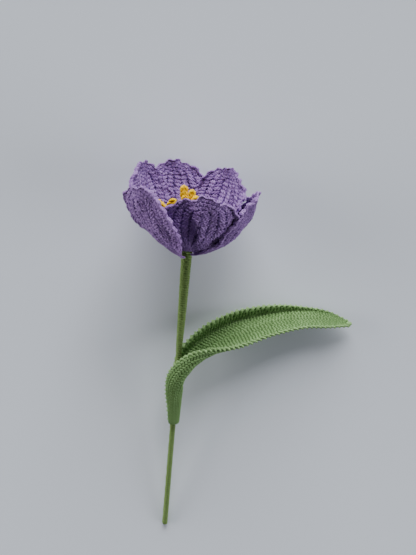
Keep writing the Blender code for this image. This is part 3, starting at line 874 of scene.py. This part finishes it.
def leafCloth(rows, stations):
    table = [(*middle, *sideways, half, math.radians(cup), wall)
             for middle, sideways, half, cup, wall in leafStations]
    fine = through(table, 400)
    table = evenlyBy(runningLength(fine[:, :3]), fine, stations)
    middle, sideways = table[:, :3], table[:, 3:6]
    half, cup, wall = table[:, 6:].T
    along = unit(np.gradient(middle, axis=0))
    sideways = unit(sideways - (sideways * along).sum(1)[:, None] * along)
    upper = np.cross(along, sideways)
    bend = 2 * half / cup
    side = np.linspace(-1, 1, rows)[:, None]
    angle = side * cup / 2
    places = (middle + (bend * np.sin(angle))[..., None] * sideways
              + (bend * (1 - np.cos(angle)))[..., None] * upper)
    places = folded(places, side, np.maximum(wall, 0))
    normals = unit(np.cross(np.gradient(places, axis=1), np.gradient(places, axis=0)))
    return places, normals


def folded(places, side, wall):
    # the far part of the leaf stands up as a wall that leans over its crease
    middle = places[len(places) // 2]
    crease = places[-1] + wall[:, None] * (0, 0.04, -1)
    far = places[-1] + wall[:, None] * leafWork["wallLean"]
    fold = leafWork["fold"]
    floor = middle + np.clip(side / fold, 0, 1)[..., None] * (crease - middle)
    rise = np.clip((side - fold) / (1 - fold), 0, 1)[..., None]
    creased = np.where(side[..., None] < fold, floor, crease + rise * (far - crease))
    creased = np.where(side[..., None] < 0, places, creased)
    share = np.clip(wall / 0.004, 0, 1)[:, None]
    made = (1 - share) * places + share * creased
    for _ in range(2):
        made[1:-1] = (made[:-2] + 2 * made[1:-1] + made[2:]) / 4
    return made


leafMiddle = leafWork["rows"] // 2
leafGap = (leafMiddle - leafWork["edge"]) // leafWork["rowsEachSide"]


def leafLayers():
    work = leafWork
    count = work["rows"] - 1
    layers = []
    for index in range(work["rowsEachSide"]):
        low = leafMiddle + index * leafGap
        for start, end in ((low, low + leafGap), (count - low, count - low - leafGap)):
            layers.append(dict(work, low=start / count, high=end / count, kinds=[[index % 2]],
                               shift=0.25 * (index % 2)))
    # the edge loops are mixed a little towards a lighter green: painted highlight
    edgeShadeAndLight = dict(work, radius=work["edgeRadius"], fullHeight=0.0017, slimmest=0.7, edgeShadeAndLight=0.3)
    inset = work["edge"] / count
    layers.append(dict(edgeShadeAndLight, low=1 - inset, high=1.0, kinds=[[3]], pitch=work["toothPitch"]))
    layers.append(dict(edgeShadeAndLight, low=inset, high=0.0, kinds=[[2]], pitch=work["slantPitch"]))
    return layers


def leafTip(place):
    # the knot that ends the leaf
    work = leafWork
    count = 40
    turns = np.linspace(0, 2 * math.pi * work["tipTurns"], count)
    share = turns / turns[-1] * 2 - 1
    radius = work["tipRadius"] * np.sqrt(1 - 0.8 * share**2) * 0.6
    coil = columns(work["tipHalfLength"] * share, radius * np.cos(turns), radius * np.sin(turns))
    # the knot is mixed a little towards the lighter edge green: painted highlight
    knot = linesObject("leafTip", [coil + place], [np.full(count, work["tipYarn"])], 0.6, 0.2)
    return runTree(knot, sweptYarn, yarnValues(leafYarn, leafYarnWork))


places, normals = leafCloth(leafWork["rows"], leafWork["stations"])
leafSheetRows = list(range(1, leafWork["rows"] - 1, 2))
leafSheetShade = [leafWork["shadeBetween" if (row - leafMiddle) % leafGap else "shadeAtHoles"]
                  for row in leafSheetRows]
cloth = (places, normals, leafSheetRows, leafWork["innerThickness"], leafSheetShade)
crochet("leaf_crochet", "leaf", cloth, leafLayers(), leafYarnWork, leafYarn, leafKinds,
        31, [leafTip(places[:, -1].mean(axis=0))])
print("leaf crocheted")


# Stem: yarn wound tightly round the wire, thicker under the flower

stemWork = dict(
    length=0.236, top=0.0040, topRadius=0.0040, footRadius=0.0021, taper=0.090,
    pitch=0.0019, yarnRadius=0.0011, stepsPerTurn=22, core=0.0013,
    twist=900.0, plies=3, plyDepth=0.08,
)


def stemRadius(height):
    share = np.clip((stemWork["top"] - height) / stemWork["taper"], 0, 1)
    eased = share * (1 + share) / 2
    return stemWork["topRadius"] + (stemWork["footRadius"] - stemWork["topRadius"]) * eased


def makeStem():
    work = stemWork
    turns = (work["length"] + work["top"]) / work["pitch"]
    count = int(turns * work["stepsPerTurn"])
    share = np.linspace(0, 1, count)
    inset = work["yarnRadius"] * 0.6
    height = work["top"] - inset - share * (work["length"] + work["top"] - 2 * inset)
    angle = 2 * math.pi * turns * share
    sink = np.minimum(stemRadius(height) * 0.5, work["yarnRadius"])
    radius = stemRadius(height) - sink * 0.8
    line = columns(radius * np.cos(angle), radius * np.sin(angle), height)
    uneven = 1 + 0.05 * np.sin(angle * 0.37) + 0.04 * np.sin(angle * 1.7 + 1)
    yarn = linesObject("stemWinding", [line], [np.minimum(sink, work["yarnRadius"]) * uneven])
    runTree(yarn, sweptYarn, yarnValues(stemYarn, work))
    piece = joined("stem_winding", [yarn, stemCore()])
    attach(piece, "root")
    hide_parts("stem_wrap")


def stemCore():
    # the yarn under the outer winding, a closed sleeve round the wire, coloured wholly with painted
    # shade
    work = stemWork
    sides, steps = 16, 40
    height = np.linspace(work["top"] - 0.0004, -work["length"] + 0.0004, steps)
    outer = stemRadius(height) * 0.80
    inner = np.full(steps, work["core"])
    bm = bmesh.new()
    rings = []
    for radius, z in list(zip(outer, height)) + list(zip(inner[::-1], height[::-1])):
        ring = [bm.verts.new((radius * math.cos(2 * math.pi * k / sides),
                              radius * math.sin(2 * math.pi * k / sides), z)) for k in range(sides)]
        rings.append(ring)
    for ring, following in zip(rings, rings[1:] + rings[:1]):
        for k in range(sides):
            bm.faces.new((ring[k], ring[(k + 1) % sides], following[(k + 1) % sides], following[k]))
    bmesh.ops.recalc_face_normals(bm, faces=bm.faces)
    mesh = bpy.data.meshes.new("stemCore")
    bm.to_mesh(mesh)
    bm.free()
    markPlain(mesh)
    # the whole core is painted shade, where it shows between the turns
    addAttribute(mesh, "paintedShade", "FLOAT", np.ones(len(mesh.vertices)))
    mesh.materials.append(stemYarn)
    return addObject("stemCore", mesh)


makeStem()
print("stem wound")


# Stamens: chains of looped yarn and plain cords that rise from one knot

stamenWork = dict(
    gap=0.0004, knotHeight=0.0030, knotRadius=0.0024, knotTurns=2.6, knotRise=0.0014,
    knotYarn=0.0010, stations=40, tipStart=0.97,
    linkPitch=0.0034, linkYarn=0.00105, linkDepth=0.55, coreShare=0.46,
    chain=dict(twist=1300.0, plies=3, plyDepth=0.10, unevenness=(0.05, 0.03, 0.1)),
    cord=dict(twist=700.0, plies=3, plyDepth=0.12),
)
knotAt = stemWork["top"] + stamenWork["gap"] + stamenWork["knotHeight"] / 2
stamens = [    # middle, tip, half width, crocheted chain or plain cord
    ((-0.0034, 0.004, 0.030), (-0.0070, 0.007, 0.0505), 0.0035, "chain"),
    ((0.0002, 0.003, 0.030), (-0.0002, 0.005, 0.0485), 0.0030, "chain"),
    ((0.0010, 0.001, 0.0393), (0.0078, 0.004, 0.0402), 0.0016, "cord"),
    ((-0.0150, -0.003, 0.0350), (-0.0098, -0.004, 0.0415), 0.0025, "chain"),
    ((-0.0168, -0.004, 0.0325), (-0.0246, -0.001, 0.0392), 0.0015, "cord"),
    ((0.0015, -0.005, 0.0200), (0.0030, -0.009, 0.0340), 0.0014, "cord"),
]
stamenKinds = makeStitchKinds("stamenStitch", [loopLines(17)])


def stamenPath(middle, tip):
    # up from the knot, through the middle, to the tip
    foot = (tip[0] / 8, tip[1] / 8, knotAt)
    return evenly(through([foot, middle, tip], 60), stamenWork["stations"])


def stamenChain(path, half, seed):
    # links laid on a narrow band along the path
    along = unit(np.gradient(path, axis=0))
    across = unit(np.cross(along, np.broadcast_to((0.25, -1.0, 0.1), along.shape)))
    side = np.linspace(-1, 1, 9)[:, None, None]
    places = path + side * half * across
    normals = np.broadcast_to(np.cross(across, along), places.shape)
    links = dict(low=0.0, high=1.0, pitch=stamenWork["linkPitch"], kinds=[[0]],
                 thickness=half * stamenWork["linkDepth"], radius=stamenWork["linkYarn"],
                 fullHeight=0.001, slimmest=1.0, reach=(0.02, 0.93))
    return stitchesOn("stamen", places, normals, [links], stamenWork["chain"], stamenYarn,
                      stamenKinds, seed)


def makeStamens():
    work = stamenWork
    parts, cords, radii = [], [], []
    share = np.linspace(0, 1, work["stations"])
    past = (share - work["tipStart"]) / (1 - work["tipStart"])
    rounded = np.where(past < 0, 1, np.sqrt(np.clip(1 - past**2, 0.15, 1)))
    for index, (middle, tip, half, kind) in enumerate(stamens):
        path = stamenPath(middle, tip)
        if kind == "cord":
            cords.append(path)
            radii.append(half * rounded)
        else:
            parts.append(stamenChain(path, half, 51 + index))
            cords.append(path[:-2])
            radii.append(np.full(len(path) - 2, half * work["coreShare"]))
    angle = np.linspace(0, 2 * math.pi * work["knotTurns"], 60)
    climb = work["knotRise"] * (angle / angle[-1] - 0.5)
    radius = work["knotRadius"]
    cords.append(columns(radius * np.cos(angle), radius * np.sin(angle), knotAt + climb))
    radii.append(np.full(60, work["knotYarn"]))
    strands = linesObject("stamenCords", cords, radii, 0.6, 0.0)
    parts.append(runTree(strands, sweptYarn, yarnValues(stamenYarn, work["cord"])))
    piece = joined("stamens_looped", parts)
    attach(piece, "root")
    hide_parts("stamens")


makeStamens()
print("stamens looped")

for node in ("stem_wire", "leaf_wire"):
    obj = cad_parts[node]
    obj.data.materials.clear()
    obj.data.materials.append(wireSteel)


# Floor, light and camera

floorLook = dict(half=3.0, colour=(0.77, 0.82, 0.90), roughness=0.95)


def makeFloor():
    mesh = bpy.data.meshes.new("floor")
    half = floorLook["half"]
    mesh.from_pydata([(-half, -half, 0), (half, -half, 0), (half, half, 0), (-half, half, 0)], [],
                     [(0, 1, 2, 3)])
    made, tree = newMaterial("paleFloor")
    setInputs(tree, tree.nodes["Principled BSDF"], {
        "Base Color": (*floorLook["colour"], 1.0), "Roughness": floorLook["roughness"]})
    mesh.materials.append(made)
    addObject("floor", mesh)


lighting = dict(
    boxes=[    # where each soft box stands round the flower and above it, in degrees
        dict(azimuth=86, elevation=20, strength=4.8, spread=45, colour=(0.97, 0.98, 1.0)),
        dict(azimuth=172, elevation=5, strength=3.2, spread=45, colour=(1.0, 0.98, 0.96)),
        dict(azimuth=348, elevation=10, strength=2.1, spread=45, colour=(0.97, 0.98, 1.0)),
    ],
    sky=(0.93, 0.95, 1.0), skyStrength=0.08,
)


def makeLight():
    for box in lighting["boxes"]:
        data = bpy.data.lights.new("softBox", "SUN")
        data.energy = box["strength"]
        data.angle = math.radians(box["spread"])
        data.color = box["colour"]
        light = bpy.data.objects.new("softBox", data)
        bpy.context.scene.collection.objects.link(light)
        light.rotation_mode = "QUATERNION"
        around, above = math.radians(box["azimuth"]), math.radians(box["elevation"])
        level = math.cos(above)
        comesFrom = Vector((level * math.cos(around), level * math.sin(around), math.sin(above)))
        light.rotation_quaternion = comesFrom.to_track_quat("Z", "Y")
    world = bpy.data.worlds.new("softSky")
    world.use_nodes = True
    sky = world.node_tree.nodes["Background"]
    sky.inputs["Color"].default_value = (*lighting["sky"], 1.0)
    sky.inputs["Strength"].default_value = lighting["skyStrength"]
    bpy.context.scene.world = world


photoCamera = dict(
    focalPixels=1215.0, imageHeight=555.0, centrePixel=(208.0, 277.5), footPixel=(187.0, 252.0),
    pitch=math.radians(21.5), distance=0.900, sensor=36.0,
)


def makeCamera():
    view = photoCamera
    ahead = Vector((0, math.cos(view["pitch"]), -math.sin(view["pitch"])))
    up = Vector((0, math.sin(view["pitch"]), math.cos(view["pitch"])))
    right = Vector((1, 0, 0))
    perPixel = view["distance"] / view["focalPixels"]
    asideBy = (view["footPixel"][0] - view["centrePixel"][0]) * perPixel
    aboveBy = (view["centrePixel"][1] - view["footPixel"][1]) * perPixel
    eye = -(asideBy * right + aboveBy * up + view["distance"] * ahead)
    # the camera's upright is the stem without its lean
    upright = laidDown @ Matrix.Rotation(-laying["lean"], 4, "Y")
    axes = Matrix((right, up, -ahead)).transposed().to_4x4()
    data = bpy.data.cameras.new("photoCamera")
    data.sensor_width = view["sensor"]
    data.lens = view["focalPixels"] / view["imageHeight"] * view["sensor"]
    camera = bpy.data.objects.new("photoCamera", data)
    bpy.context.scene.collection.objects.link(camera)
    camera.matrix_world = upright @ Matrix.Translation(eye) @ axes
    bpy.context.scene.camera = camera


makeFloor()
makeLight()
makeCamera()
print("floor, light and camera set")
